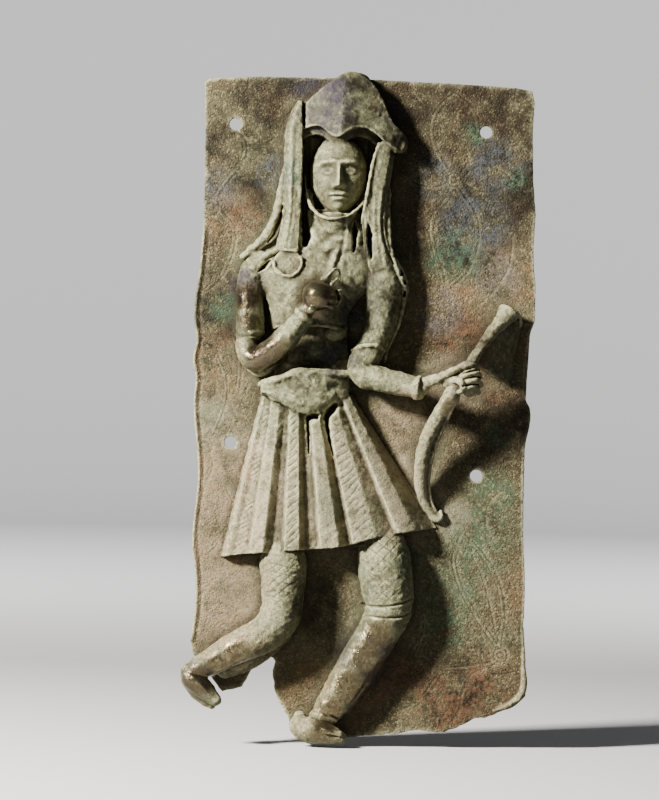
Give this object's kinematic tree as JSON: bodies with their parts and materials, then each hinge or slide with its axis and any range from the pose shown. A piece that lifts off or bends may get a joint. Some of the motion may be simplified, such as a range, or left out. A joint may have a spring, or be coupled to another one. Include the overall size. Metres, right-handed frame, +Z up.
{
  "type": "relief plaque",
  "caption": "Cast brass wall plaque with a standing figure in high relief: pointed hood, pleated skirt, bent legs and a curved horn in one hand, on a thin sheet pierced for nails.",
  "frame": {"origin": "The middle of the flat back, on the plane that lies against the wall.", "axes": "+Z is up the plaque, +Y points out of the back into the wall, and the figure faces -Y; +X is to the right seen from the front."},
  "size_m": [0.2315, 0.0455, 0.4472],
  "materials": {
    "brass": "cast and chased, under a worn olive, buff and rust-brown patina with green patches"
  },
  "bodies": {
    "root": {"relief_plaque": "brass"}
  },
  "joints": []
}
